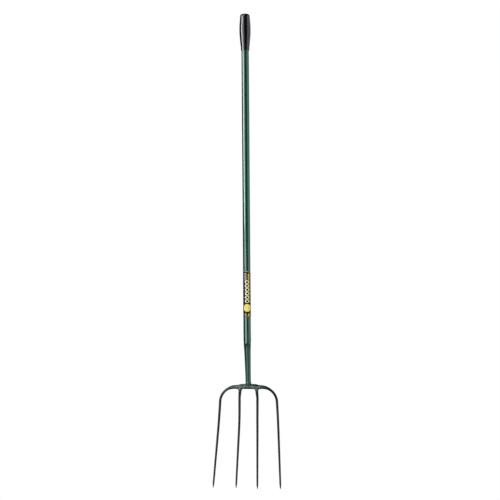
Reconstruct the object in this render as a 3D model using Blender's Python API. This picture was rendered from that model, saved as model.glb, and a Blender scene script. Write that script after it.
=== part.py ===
"""Four-tine manure fork: tubular steel shaft, moulded end grip and a welded four-tine head.

Units are metres. +Z runs up the shaft, +X across the head, and the hollow side of the tines faces -Y.
The origin is the middle of the land under the crosshead, the flat on which the fork hangs in a rack.
Left and right are as seen from the hollow side, so left is -X.
"""

import math

import bmesh
import bpy
from mathutils import Vector

GAP = 0.0003  # clearance kept between neighbouring pieces

# Shaft tube: straight above the bend, then leaning back and swaged down to its foot
TUBE_RADIUS = 0.0127
TUBE_WALL = 0.0016
TUBE_SIDES = 32
SHAFT_Y = -0.022  # the straight shaft stands this far in front of the head
BEND_Z = 0.152  # where the two straight legs of the axis would meet
BEND_RADIUS = 0.2
BEND_STEPS = 6
HEAD_MID_Z = 0.0084  # the lower leg of the axis passes over the head's middle plane here
FOOT_Z = 0.0185
# Outline of the swaged part as (height, radius): parallel below the first, full size above the last
SWAGE = [(0.040, 0.0091), (0.120, 0.0106), (0.172, 0.0127)]
FOOT_RADIUS = SWAGE[0][1]

# Grip: a turned moulding, listed as (distance below its top, radius)
GRIP_TOP_Z = 1.2793
GRIP_CROWN = 0.009  # solid thickness above the end of the tube
GRIP_NUB = [(0.0, 0.0018), (0.0011, 0.0027)]
GRIP_DOME = [(0.0013, 0.0050), (0.0020, 0.0085), (0.0031, 0.0118), (0.0050, 0.0145), (0.0088, 0.0164)]
GRIP_SWELL = [(0.0150, 0.0169), (0.0224, 0.0173), (0.0290, 0.0180), (0.0360, 0.0186), (0.0430, 0.0190)]
GRIP_WAIST = [(0.0500, 0.0192), (0.0620, 0.0192), (0.0700, 0.0189), (0.0780, 0.0184), (0.0904, 0.0173)]
GRIP_RIM = [(0.1040, 0.0160), (0.1120, 0.0150), (0.1185, 0.0145), (0.1252, 0.0144), (0.1261, 0.0138)]

# Label: a printed sleeve wrapped round the shaft, its top edge cut aslant
LABEL_BOTTOM_Z = 0.247
LABEL_TOP_Z = 0.4045
LABEL_SLANT = 0.0058  # fall of the top edge from its left side to its right
LABEL_THICKNESS = 0.0003

# Crosshead: a forged bar, thick under the shaft, with a tapered tang that stands up inside the tube
HEAD_HALF_LENGTH = 0.03905
HEAD_TOP_Z = 0.0173
HEAD_HALF_DEPTH = 0.00625
LAND_HALF_LENGTH = 0.0195
LAND_HEIGHT = 0.0004  # the land stands this far below the rest of the underside
LAND_FLATTEN = 0.0024  # how much of the round section the flat underside takes off
BOSS_HALF_LENGTH = 0.024  # full height as far as this, then easing down to the ends
EASE_STATIONS = (0.0275, 0.031, 0.034)  # sections through the easing
LAND_EDGE = 0.001  # run of the small step at each end of the land
KEEL = 0.34  # how far the lower half of the middle draws in, as a share of its depth
KEEL_SPAN = (0.012, 0.0195)  # the keel is full as far as the first and gone at the second
KEEL_STATIONS = (0.012, 0.0145, 0.017)
END_HALF_DEPTH = 0.0058
ARM_Z = 0.0068  # height of the outer arms' centre line
ARM_HALF_HEIGHT = 0.0066
BAR_SIDES = 24
BAR_SQUARENESS = 2.6  # exponent of the forged section: 2 is an ellipse
TANG_FOOT_RADIUS = 0.0066
TANG_TIP_RADIUS = 0.0045
TANG_TOP_Z = 0.125
TANG_BEVEL = 0.004  # length of the tang's bevelled end
TANG_BEVEL_SHARE = 0.6  # radius of its end face as a share of the tip radius
TANG_SIDES = 24

# Butt welds between the crosshead and the outer arms: a V groove with its bead
GROOVE_DEPTH = 0.0022
JOINT_X = 0.0392
BEAD_CROWN = 0.0007
BEAD_LAP = 0.0004  # how far the bead spreads past the mouth of the groove

# Tines: forged bar tapering to a point
TINE_SIDES = 14
SHOULDER_RADIUS = 0.0043
NECK_RADIUS = 0.0032  # where the point begins
POINT_LENGTH = 0.016
TIP_RADIUS = 0.0009
TIP_STATIONS = (0.3, 0.55, 0.76, 0.9, 1.0)  # shares of the point's length
TAPER_STEP = 0.022  # spacing of the sections down a tine
SHOULDER_Z = -0.040  # the even taper begins here
TIP_Z = {"outer_left": -0.3260, "outer_right": -0.3270, "inner_left": -0.3258, "inner_right": -0.3280}

ARM_MID_X = 0.043  # a section part-way along the straight of an outer arm
OUTER_ARC_X = 0.0449  # the outer bend starts here
OUTER_BEND_RADIUS = 0.053
OUTER_SPLAY = math.radians(3.3)
OUTER_BEND_STEPS = 14
ARM_SWELL = (0.006, 0.042)  # run over which the arm eases from its root to the bar's thickness
ARM_BAR_RADIUS = 0.0048

INNER_X = 0.0308
INNER_ROOT_IN = 0.0023  # the roots stand closer to the middle by this
INNER_ROOT_RUN = 0.032
INNER_SPLAY = 0.024
INNER_SPLAY_Z = (-0.085, -0.125)
ROOT_Z = -0.0001
ROOT_RADIUS = 0.0053
ROOT_SWELL = (0.006, 0.027)
ROOT_STATIONS = (-0.005, -0.010, -0.015, -0.020, -0.026, -0.033)  # sections through an inner root

DISH_SLOPE = 0.28  # forward run of the tines per metre of drop, below the curve
DISH_Z = (-0.030, -0.150)  # heights between which the tines curve forward

# Fillet welds round the inner roots: (height, half width, half depth) of the outer face
ROOT_WELD = [(ROOT_Z, 0.0077, 0.0060), (-0.0016, 0.0069, 0.0060)]
ROOT_WELD += [(-0.0034, 0.0063, 0.0060), (-0.0052, 0.0060, 0.0060)]

# Collar weld round the tube's foot, listed as (radius, height along the tube from its foot)
COLLAR_FACE = [(0.0103, 0.0048), (0.0101, 0.0018), (0.0102, -0.0008), (0.0098, -0.0030), (0.0088, -0.0046)]
COLLAR_TOP = 0.0065
COLLAR_BORE = 0.0055  # under the tube's foot, where the collar reaches in towards the tang
COLLAR_CLEARANCE = 1.5 * GAP  # all round the tube's wall
COLLAR_SEAT = -0.0004  # the collar's inner shelf stands this far below the tube's foot

GREEN_PAINT = (0.012, 0.065, 0.040)
DARK_GREEN_PAINT = (0.012, 0.035, 0.027)
GRIP_BLACK = (0.012, 0.012, 0.013)
LABEL_BLACK = (0.020, 0.019, 0.014)


def clear_scene():
    for obj in list(bpy.data.objects):
        bpy.data.objects.remove(obj, do_unlink=True)


def paint(name, colour, roughness, metallic=0.0):
    material = bpy.data.materials.new(name)
    material.use_nodes = True
    shader = material.node_tree.nodes["Principled BSDF"]
    shader.inputs["Base Color"].default_value = (*colour, 1.0)
    shader.inputs["Roughness"].default_value = roughness
    shader.inputs["Metallic"].default_value = metallic
    return material


def ease(share):
    """0 to 1 with a level start and end."""
    share = min(max(share, 0.0), 1.0)
    return share * share * (3.0 - 2.0 * share)


def mix(a, b, share):
    return a + (b - a) * share


def eased_run(z, start, end, slope):
    """Sideways run at height z of a line that bends evenly from upright at start to slope at end."""
    drop, span = start - z, start - end
    if drop <= 0.0:
        return 0.0
    if drop <= span:
        return slope * drop * drop / (2.0 * span)
    return slope * (drop - span / 2.0)


def squircle(half_u, half_v, sides, power=2.0):
    """A rounded outline as (u, v) pairs, with a flat side centred on -u."""
    points = []
    for i in range(sides):
        angle = 2.0 * math.pi * (i + 0.5) / sides
        c, s = math.cos(angle), math.sin(angle)
        u = half_u * math.copysign(abs(c) ** (2.0 / power), c)
        v = half_v * math.copysign(abs(s) ** (2.0 / power), s)
        points.append((u, v))
    return points


def make_object(name, rings, material, closed=False):
    """Join rings of points into one skin: closed ones meet end to end, others are capped."""
    mesh = bpy.data.meshes.new(name)
    shape = bmesh.new()
    loops = [[shape.verts.new(point) for point in ring] for ring in rings]
    pairs = list(zip(loops, loops[1:]))
    if closed:
        pairs.append((loops[-1], loops[0]))
    for lower, upper in pairs:
        for i in range(len(lower)):
            j = (i + 1) % len(lower)
            shape.faces.new((lower[i], lower[j], upper[j], upper[i]))
    if not closed:
        shape.faces.new(loops[0])
        shape.faces.new(loops[-1])
    bmesh.ops.recalc_face_normals(shape, faces=shape.faces)
    shape.to_mesh(mesh)
    shape.free()
    mesh.materials.append(material)
    mesh.shade_smooth()
    mesh.set_sharp_from_angle(angle=math.radians(40))
    obj = bpy.data.objects.new(name, mesh)
    bpy.context.collection.objects.link(obj)
    return obj


def section_at(path, index, outline):
    """Place a (u, v) outline square to the path, with v kept as close to +Y as the path allows."""
    before, after = path[max(index - 1, 0)], path[min(index + 1, len(path) - 1)]
    along = (after - before).normalized()
    across = (Vector((0, 1, 0)) - along * along.y).normalized()
    side = across.cross(along)
    return [path[index] + side * u + across * v for u, v in outline]


# --- shaft -------------------------------------------------------------------------------------------

def lower_leg():
    """Direction of the tube's lower leg, pointing up from the head."""
    return Vector((0.0, SHAFT_Y, BEND_Z - HEAD_MID_Z)).normalized()


def on_lower_leg(z):
    up = lower_leg()
    return Vector((0.0, 0.0, HEAD_MID_Z)) + up * ((z - HEAD_MID_Z) / up.z)


def shaft_path():
    """Stations up the tube's axis: foot, end of the swage, round the bend, top."""
    up = lower_leg()
    lean = math.acos(up.z)
    tangent = BEND_RADIUS * math.tan(lean / 2.0)
    corner = Vector((0.0, SHAFT_Y, BEND_Z))
    centre = corner + Vector((0.0, BEND_RADIUS, tangent))
    path = [on_lower_leg(FOOT_Z)] + [on_lower_leg(z) for z, radius in SWAGE[:-1]]
    for i in range(BEND_STEPS + 1):
        angle = mix(lean, 0.0, i / BEND_STEPS)
        path.append(centre - Vector((0.0, math.cos(angle), math.sin(angle))) * BEND_RADIUS)
    path += [Vector((0.0, SHAFT_Y, z)) for z in (SWAGE[-1][0], GRIP_TOP_Z - GRIP_CROWN)]
    return path


def tube_radius(z):
    for (low, low_radius), (high, high_radius) in zip(SWAGE, SWAGE[1:]):
        if z <= high:
            return mix(low_radius, high_radius, max(z - low, 0.0) / (high - low))
    return TUBE_RADIUS


def shaft_tube(material):
    path = shaft_path()
    outside, inside = [], []
    for i, point in enumerate(path):
        radius = tube_radius(point.z)
        outside.append(section_at(path, i, squircle(radius, radius, TUBE_SIDES)))
        inside.append(section_at(path, i, squircle(radius - TUBE_WALL, radius - TUBE_WALL, TUBE_SIDES)))
    return make_object("shaft_tube", outside + inside[::-1], material, closed=True)


def shaft_label(material):
    inner = TUBE_RADIUS + GAP
    outer = inner + LABEL_THICKNESS
    rings = []
    for radius, at_top in ((inner, False), (outer, False), (outer, True), (inner, True)):
        ring = []
        for u, v in squircle(radius, radius, TUBE_SIDES):
            top = LABEL_TOP_Z - LABEL_SLANT / 2.0 * u / TUBE_RADIUS
            ring.append(Vector((u, SHAFT_Y + v, top if at_top else LABEL_BOTTOM_Z)))
        rings.append(ring)
    return make_object("shaft_label", rings, material, closed=True)


def grip(material):
    def turned(drop, radius):
        return [Vector((u, SHAFT_Y + v, GRIP_TOP_Z - drop)) for u, v in squircle(radius, radius, TUBE_SIDES)]

    outline = GRIP_NUB + GRIP_DOME + GRIP_SWELL + GRIP_WAIST + GRIP_RIM
    rings = [turned(drop, radius) for drop, radius in outline]
    bore = TUBE_RADIUS + GAP
    rings.append(turned(GRIP_RIM[-1][0], bore))
    rings.append(turned(GRIP_CROWN - GAP, bore))
    return make_object("grip", rings, material)


# --- head --------------------------------------------------------------------------------------------

def bar_section(x, inset=0.0):
    """Section of the crosshead at x as points in the YZ plane, drawn in by inset all round."""
    share = ease((abs(x) - BOSS_HALF_LENGTH) / (HEAD_HALF_LENGTH - BOSS_HALF_LENGTH))
    floor = 0.0 if abs(x) <= LAND_HALF_LENGTH + 1e-6 else LAND_HEIGHT
    top = mix(HEAD_TOP_Z, ARM_Z + ARM_HALF_HEIGHT, share)
    bottom = mix(floor, ARM_Z - ARM_HALF_HEIGHT, share)
    low = bottom - mix(LAND_FLATTEN, 0.0, share)
    half_depth = mix(HEAD_HALF_DEPTH, END_HALF_DEPTH, share) - inset
    centre, half_height = (top + low) / 2.0, (top - low) / 2.0
    keel = KEEL * (1.0 - ease((abs(x) - KEEL_SPAN[0]) / (KEEL_SPAN[1] - KEEL_SPAN[0])))
    ring = []
    for u, v in squircle(half_height - inset, half_depth, BAR_SIDES, BAR_SQUARENESS):
        drawn_in = keel * max(-u / half_height, 0.0) ** 1.5
        ring.append(Vector((x, v * (1.0 - drawn_in), max(centre + u, bottom + inset))))
    return ring


def crosshead_bar(name, material, grow=0.0):
    """The bar with its ends bevelled for the welds. grow swells it all round, to cut clearances."""
    full = JOINT_X - GAP / 2.0 - GROOVE_DEPTH
    right = [*KEEL_STATIONS, LAND_HALF_LENGTH, LAND_HALF_LENGTH + LAND_EDGE, BOSS_HALF_LENGTH]
    right += [*EASE_STATIONS, full]
    rings = [bar_section(-x, -grow) for x in reversed(right)] + [bar_section(x, -grow) for x in right]
    end = HEAD_HALF_LENGTH
    rings = [bar_section(-end, GROOVE_DEPTH)] + rings + [bar_section(end, GROOVE_DEPTH)]
    return make_object(name, rings, material)


def tang(name, material, grow=0.0):
    """The tapered tang, from inside the bar up the tube's lower leg."""
    heights = (HEAD_MID_Z, HEAD_TOP_Z, TANG_TOP_Z - TANG_BEVEL, TANG_TOP_Z)
    path = [on_lower_leg(z) for z in heights]
    radii = [TANG_FOOT_RADIUS, TANG_FOOT_RADIUS, TANG_TIP_RADIUS, TANG_TIP_RADIUS * TANG_BEVEL_SHARE]
    rings = [section_at(path, i, squircle(r + grow, r + grow, TANG_SIDES)) for i, r in enumerate(radii)]
    return make_object(name, rings, material)


def helper(obj):
    """Mark an object as an operand that is not itself a piece."""
    obj.hide_render = True
    obj.display_type = "WIRE"
    return obj


def combine(obj, other, operation):
    modifier = obj.modifiers.new(operation.lower(), "BOOLEAN")
    modifier.operation = operation
    modifier.solver = "EXACT"
    modifier.object = other


def crosshead(material):
    bar = crosshead_bar("crosshead", material)
    combine(bar, helper(tang("tang_shape", material)), "UNION")
    return bar


def dish(z):
    return -eased_run(z, *DISH_Z, DISH_SLOPE)


def drops(first_z, tip_z):
    """Heights of the sections down a tine, from first_z to its tip."""
    neck_z = tip_z + POINT_LENGTH
    steps = math.ceil((first_z - neck_z) / TAPER_STEP)
    even = [mix(first_z, neck_z, i / steps) for i in range(1, steps + 1)]
    return even + [neck_z - POINT_LENGTH * share for share in TIP_STATIONS]


def blade_radius(z, tip_z):
    """Radius of the drawn part of a tine: an even taper, then a rounded point."""
    neck_z = tip_z + POINT_LENGTH
    if z >= neck_z:
        share = min(max((SHOULDER_Z - z) / (SHOULDER_Z - neck_z), 0.0), 1.0)
        return mix(SHOULDER_RADIUS, NECK_RADIUS, share)
    return mix(NECK_RADIUS, TIP_RADIUS, ((neck_z - z) / POINT_LENGTH) ** 1.5)


def outer_tine(side_name, side, material):
    """Arm out from the crosshead, round the bend, then down and forward to the point."""
    name = f"outer_{side_name}"
    inset_x = JOINT_X + GAP / 2.0
    centre = Vector((OUTER_ARC_X, 0.0, ARM_Z - OUTER_BEND_RADIUS))
    flat = [Vector((x, 0.0, ARM_Z)) for x in (inset_x, inset_x + GROOVE_DEPTH, ARM_MID_X)]
    for i in range(OUTER_BEND_STEPS + 1):
        angle = mix(math.pi / 2.0, OUTER_SPLAY, i / OUTER_BEND_STEPS)
        flat.append(centre + Vector((math.cos(angle), 0.0, math.sin(angle))) * OUTER_BEND_RADIUS)
    foot = flat[-1]
    for z in drops(foot.z, TIP_Z[name]):
        flat.append(Vector((foot.x + (foot.z - z) * math.tan(OUTER_SPLAY), 0.0, z)))
    path = [Vector((side * p.x, dish(p.z), p.z)) for p in flat]
    rings, run = [], 0.0
    for i, point in enumerate(path):
        run += (point - path[i - 1]).length if i else 0.0
        inset = GROOVE_DEPTH if i == 0 else 0.0
        share = ease((run - ARM_SWELL[0]) / (ARM_SWELL[1] - ARM_SWELL[0]))
        bar = mix(ARM_BAR_RADIUS, SHOULDER_RADIUS, min(max(point.z / SHOULDER_Z, 0.0), 1.0))
        bar = min(bar, blade_radius(point.z, TIP_Z[name]))
        half_height = mix(ARM_HALF_HEIGHT, bar, share) - inset
        half_depth = mix(END_HALF_DEPTH, bar, share) - inset
        power = mix(BAR_SQUARENESS, 2.0, share)
        rings.append(section_at(path, i, squircle(half_height, half_depth, TINE_SIDES, power)))
    return make_object(f"tine_{name}", rings, material)


def inner_x(z):
    lean = INNER_ROOT_IN * (1.0 - ease(-z / INNER_ROOT_RUN))
    return INNER_X - lean + eased_run(z, *INNER_SPLAY_Z, INNER_SPLAY)


def inner_tine(side_name, side, material):
    """Straight down from the underside of the crosshead, then forward and slightly out to the point."""
    name = f"inner_{side_name}"
    heights = [ROOT_Z, *ROOT_STATIONS] + drops(ROOT_STATIONS[-1], TIP_Z[name])
    path = [Vector((side * inner_x(z), dish(z), z)) for z in heights]
    rings = []
    for i, point in enumerate(path):
        share = ease((-point.z - ROOT_SWELL[0]) / (ROOT_SWELL[1] - ROOT_SWELL[0]))
        radius = mix(ROOT_RADIUS, blade_radius(point.z, TIP_Z[name]), share)
        ring = section_at(path, i, squircle(radius, radius, TINE_SIDES))
        if i == 0:
            ring = [Vector((p.x, p.y, ROOT_Z)) for p in ring]
        rings.append(ring)
    return make_object(f"tine_{name}", rings, material)


# --- welds -------------------------------------------------------------------------------------------

def root_weld(side_name, side, material):
    """Fillet round the top of an inner tine, spreading under the crosshead."""
    bore = ROOT_RADIUS + GAP
    profile = ROOT_WELD + [(ROOT_WELD[-1][0], bore, bore), (ROOT_Z, bore, bore)]
    rings = []
    for z, half_width, half_depth in profile:
        centre = side * inner_x(z)
        outline = squircle(half_width, half_depth, TINE_SIDES * 2)
        rings.append([Vector((centre + u, v, z)) for u, v in outline])
    return make_object(f"weld_inner_{side_name}", rings, material, closed=True)


def groove_weld(side_name, side, material):
    """Bead filling the V groove between the crosshead's end and an outer arm."""
    reach = GROOVE_DEPTH + GAP / 2.0 - GAP * math.sqrt(2.0)
    right = [(reach - GAP / 3.0, GAP / 3.0), (0.0, reach)]
    right += [(-GAP, reach + BEAD_LAP), (-BEAD_CROWN, reach / 2.0)]
    profile = right + [(inset, -x) for inset, x in reversed(right)]
    rings = []
    for inset, x in profile:
        outline = squircle(ARM_HALF_HEIGHT - inset, END_HALF_DEPTH - inset, BAR_SIDES, BAR_SQUARENESS)
        rings.append([Vector((side * JOINT_X + x, v, ARM_Z + u)) for u, v in outline])
    return make_object(f"weld_outer_{side_name}", rings, material, closed=True)


def foot_weld(material):
    """Collar round the tube's foot that laps down over the front and back of the crosshead."""
    bore = FOOT_RADIUS + COLLAR_CLEARANCE
    profile = [(bore, COLLAR_TOP)] + COLLAR_FACE
    profile += [(COLLAR_BORE, COLLAR_FACE[-1][1]), (COLLAR_BORE, COLLAR_SEAT), (bore, COLLAR_SEAT)]
    up = lower_leg()
    foot = on_lower_leg(FOOT_Z)
    across = up.cross(Vector((1, 0, 0))).normalized()
    rings = []
    for radius, height in profile:
        outline = squircle(radius, radius, TUBE_SIDES)
        rings.append([foot + up * height + Vector((1, 0, 0)) * u + across * v for u, v in outline])
    collar = make_object("weld_foot", rings, material, closed=True)
    combine(collar, helper(crosshead_bar("bar_clearance", material, GAP)), "DIFFERENCE")
    combine(collar, helper(tang("tang_clearance", material, GAP)), "DIFFERENCE")
    return collar


def main():
    clear_scene()
    shaft_green = paint("shaft_green", GREEN_PAINT, 0.32)
    head_green = paint("head_green", DARK_GREEN_PAINT, 0.38)
    grip_black = paint("grip_black", GRIP_BLACK, 0.35)
    label_black = paint("label_print", LABEL_BLACK, 0.4)
    grip(grip_black)
    shaft_tube(shaft_green)
    shaft_label(label_black)
    crosshead(head_green)
    foot_weld(head_green)
    for side_name, side in (("left", -1.0), ("right", 1.0)):
        outer_tine(side_name, side, head_green)
        inner_tine(side_name, side, head_green)
        groove_weld(side_name, side, head_green)
        root_weld(side_name, side, head_green)


main()
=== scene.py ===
"""Looks of the four-tine manure fork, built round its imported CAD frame.

Units are metres, in the frame's own axes: +Z runs up the shaft, +X across the head, and the
hollow side of the tines faces -Y. Left is -X. Dimensions that the CAD boxes cannot give are
repeated here from the CAD source.
"""

import math

import bmesh
import bpy
from mathutils import Matrix, Vector, noise


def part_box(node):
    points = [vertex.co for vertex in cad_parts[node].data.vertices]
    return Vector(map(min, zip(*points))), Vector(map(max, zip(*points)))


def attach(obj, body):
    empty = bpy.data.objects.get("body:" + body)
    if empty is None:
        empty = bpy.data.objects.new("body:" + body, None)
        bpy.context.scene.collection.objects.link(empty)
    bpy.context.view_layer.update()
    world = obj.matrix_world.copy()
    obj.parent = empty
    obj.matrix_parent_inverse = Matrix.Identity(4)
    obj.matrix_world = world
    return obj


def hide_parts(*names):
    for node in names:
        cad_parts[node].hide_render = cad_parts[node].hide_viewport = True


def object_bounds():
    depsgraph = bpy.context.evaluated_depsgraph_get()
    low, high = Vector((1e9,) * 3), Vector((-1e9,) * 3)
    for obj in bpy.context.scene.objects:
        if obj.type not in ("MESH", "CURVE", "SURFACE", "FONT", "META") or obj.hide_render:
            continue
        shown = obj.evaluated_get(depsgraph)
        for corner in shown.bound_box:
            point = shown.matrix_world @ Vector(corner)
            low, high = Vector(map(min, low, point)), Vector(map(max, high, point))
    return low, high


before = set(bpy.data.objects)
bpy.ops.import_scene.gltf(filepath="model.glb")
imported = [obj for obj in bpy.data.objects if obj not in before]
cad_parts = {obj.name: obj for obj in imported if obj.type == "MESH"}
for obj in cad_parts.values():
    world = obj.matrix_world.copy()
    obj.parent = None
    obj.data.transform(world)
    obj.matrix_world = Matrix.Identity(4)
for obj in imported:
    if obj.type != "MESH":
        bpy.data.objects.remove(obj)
CAD_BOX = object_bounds()

# --- dimensions repeated from the CAD source -----------------------------------------------------------

SHAFT_Y = -0.022  # the straight shaft stands this far in front of the head
TUBE_RADIUS = 0.0127
TUBE_WALL = 0.0016
BEND_Z = 0.152  # where the two straight legs of the axis would meet
BEND_RADIUS = 0.2
HEAD_MID_Z = 0.0084
FOOT_Z = 0.0185
SWAGE = [(0.040, 0.0091), (0.120, 0.0106), (0.172, 0.0127)]  # (height, radius)

GRIP_CROWN = 0.009
# (drop from the grip's top, radius): the nub, the dome, the swell, the waist and the rounded lower rim
GRIP_PROFILE = [
    (0.0, 0.0012), (0.0002, 0.0018), (0.0006, 0.0023), (0.0012, 0.0028), (0.0014, 0.0050),
    (0.0020, 0.0085), (0.0031, 0.0118), (0.0050, 0.0145), (0.0088, 0.0164), (0.0150, 0.0169),
    (0.0224, 0.0173), (0.0290, 0.0180), (0.0360, 0.0186), (0.0430, 0.0190), (0.0500, 0.0192),
    (0.0620, 0.0192), (0.0700, 0.0189), (0.0780, 0.0184), (0.0904, 0.0173), (0.1040, 0.0160),
    (0.1120, 0.0150), (0.1185, 0.0145), (0.1248, 0.0144), (0.1258, 0.0140), (0.1261, 0.0136),
]
GRIP_GAP = 0.0003  # between the tube and the grip's bore

LABEL_SLANT = 0.0058  # its top edge is this much higher on one side
LABEL_BORE = TUBE_RADIUS + 0.00005

HEAD_HALF_LENGTH = 0.03905
HEAD_TOP_Z = 0.0173
HEAD_HALF_DEPTH = 0.00625
LAND_HALF_LENGTH = 0.0195
LAND_HEIGHT = 0.0004
LAND_FLATTEN = 0.0024
BOSS_HALF_LENGTH = 0.024
END_HALF_DEPTH = 0.0058
ARM_Z = 0.0068
ARM_HALF_HEIGHT = 0.0066
BAR_SQUARENESS = 2.6
TANG_FOOT_RADIUS = 0.0066
TANG_TIP_RADIUS = 0.0045
TANG_TOP_Z = 0.125
JOINT_X = 0.0392

SHOULDER_RADIUS = 0.0043
NECK_RADIUS = 0.0032
POINT_LENGTH = 0.016
TIP_RADIUS = 0.0009
SHOULDER_Z = -0.040
OUTER_ARC_X = 0.0449
OUTER_BEND_RADIUS = 0.053
OUTER_SPLAY = math.radians(3.3)
ARM_SWELL = (0.006, 0.042)
ARM_BAR_RADIUS = 0.0048
INNER_X = 0.0308
INNER_ROOT_IN = 0.0023
INNER_ROOT_RUN = 0.032
INNER_SPLAY = 0.024
INNER_SPLAY_Z = (-0.085, -0.125)
ROOT_RADIUS = 0.0053
ROOT_SWELL = (0.006, 0.027)
DISH_SLOPE = 0.28
DISH_Z = (-0.030, -0.150)
# A tine's end is tilted with it, so its middle is this much above its lowest corner
TIP_LEAN = TIP_RADIUS * math.sin(math.atan(DISH_SLOPE))

# --- values of the looks alone -------------------------------------------------------------------------

MM = 0.001
SHARP_ANGLE = 38.0  # degrees between faces from which an edge is shaded sharp
GRIP_SHARP_ANGLE = 50.0
WELD_SHARP_ANGLE = 60.0
POINT_TRIM = 0.967  # share of the CAD radius at a tine's point, so its waves stay inside the CAD box
POINT_TRIM_RUN = 0.05  # the full radius is reached this far above the pointed end


# --- shapes --------------------------------------------------------------------------------------------

def ease(share):
    """0 to 1 with a level start and end."""
    share = min(max(share, 0.0), 1.0)
    return share * share * (3.0 - 2.0 * share)


def mix(a, b, share):
    return a + (b - a) * share


def steps(a, b, spacing):
    """Evenly spaced values from a to b, both included."""
    count = max(1, math.ceil(abs(b - a) / spacing))
    return [mix(a, b, i / count) for i in range(count + 1)]


def eased_run(z, start, end, slope):
    """Sideways run at height z of a line that bends evenly from upright at start to slope at end."""
    drop, span = start - z, start - end
    if drop <= 0.0:
        return 0.0
    if drop <= span:
        return slope * drop * drop / (2.0 * span)
    return slope * (drop - span / 2.0)


def squircle(half_u, half_v, sides, power=2.0):
    """Points round an ellipse, or round a squarer outline for a power above 2."""
    points = []
    for i in range(sides):
        angle = 2.0 * math.pi * i / sides
        c, s = math.cos(angle), math.sin(angle)
        u = half_u * math.copysign(abs(c) ** (2.0 / power), c)
        v = half_v * math.copysign(abs(s) ** (2.0 / power), s)
        points.append((u, v))
    return points


def section_at(path, index, outline):
    """Place a (u, v) outline square to the path, with v kept as close to +Y as the path allows."""
    before, after = path[max(index - 1, 0)], path[min(index + 1, len(path) - 1)]
    along = (after - before).normalized()
    across = (Vector((0, 1, 0)) - along * along.y).normalized()
    side = across.cross(along)
    return [path[index] + side * u + across * v for u, v in outline]


def rough(point, size, seed=0.0):
    """Smooth noise from -1 to 1 whose bumps are about size across."""
    return noise.noise(point / size + Vector((seed, seed * 1.7, seed * 0.6)))


def finish_mesh(shape, name, material, sharp_angle=SHARP_ANGLE):
    """Turn a bmesh into a smooth-shaded object."""
    bmesh.ops.recalc_face_normals(shape, faces=shape.faces)
    mesh = bpy.data.meshes.new(name)
    shape.to_mesh(mesh)
    shape.free()
    mesh.materials.append(material)
    mesh.shade_smooth()
    mesh.set_sharp_from_angle(angle=math.radians(sharp_angle))
    obj = bpy.data.objects.new(name, mesh)
    bpy.context.scene.collection.objects.link(obj)
    return obj


def skin(name, rings, material, closed=False, sharp_angle=SHARP_ANGLE):
    """Join rings of points into one surface: closed ones meet end to end, others are capped."""
    shape = bmesh.new()
    loops = [[shape.verts.new(point) for point in ring] for ring in rings]
    pairs = list(zip(loops, loops[1:]))
    if closed:
        pairs.append((loops[-1], loops[0]))
    for lower, upper in pairs:
        for i in range(len(lower)):
            j = (i + 1) % len(lower)
            shape.faces.new((lower[i], lower[j], upper[j], upper[i]))
    if not closed:
        shape.faces.new(loops[0])
        shape.faces.new(loops[-1])
    return finish_mesh(shape, name, material, sharp_angle)


def piece(obj, slot, *nodes):
    """Put a finished piece on the one body, standing for these CAD nodes."""
    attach(obj, "root")
    if nodes:
        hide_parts(*nodes)
    return obj


# --- materials -----------------------------------------------------------------------------------------

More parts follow.
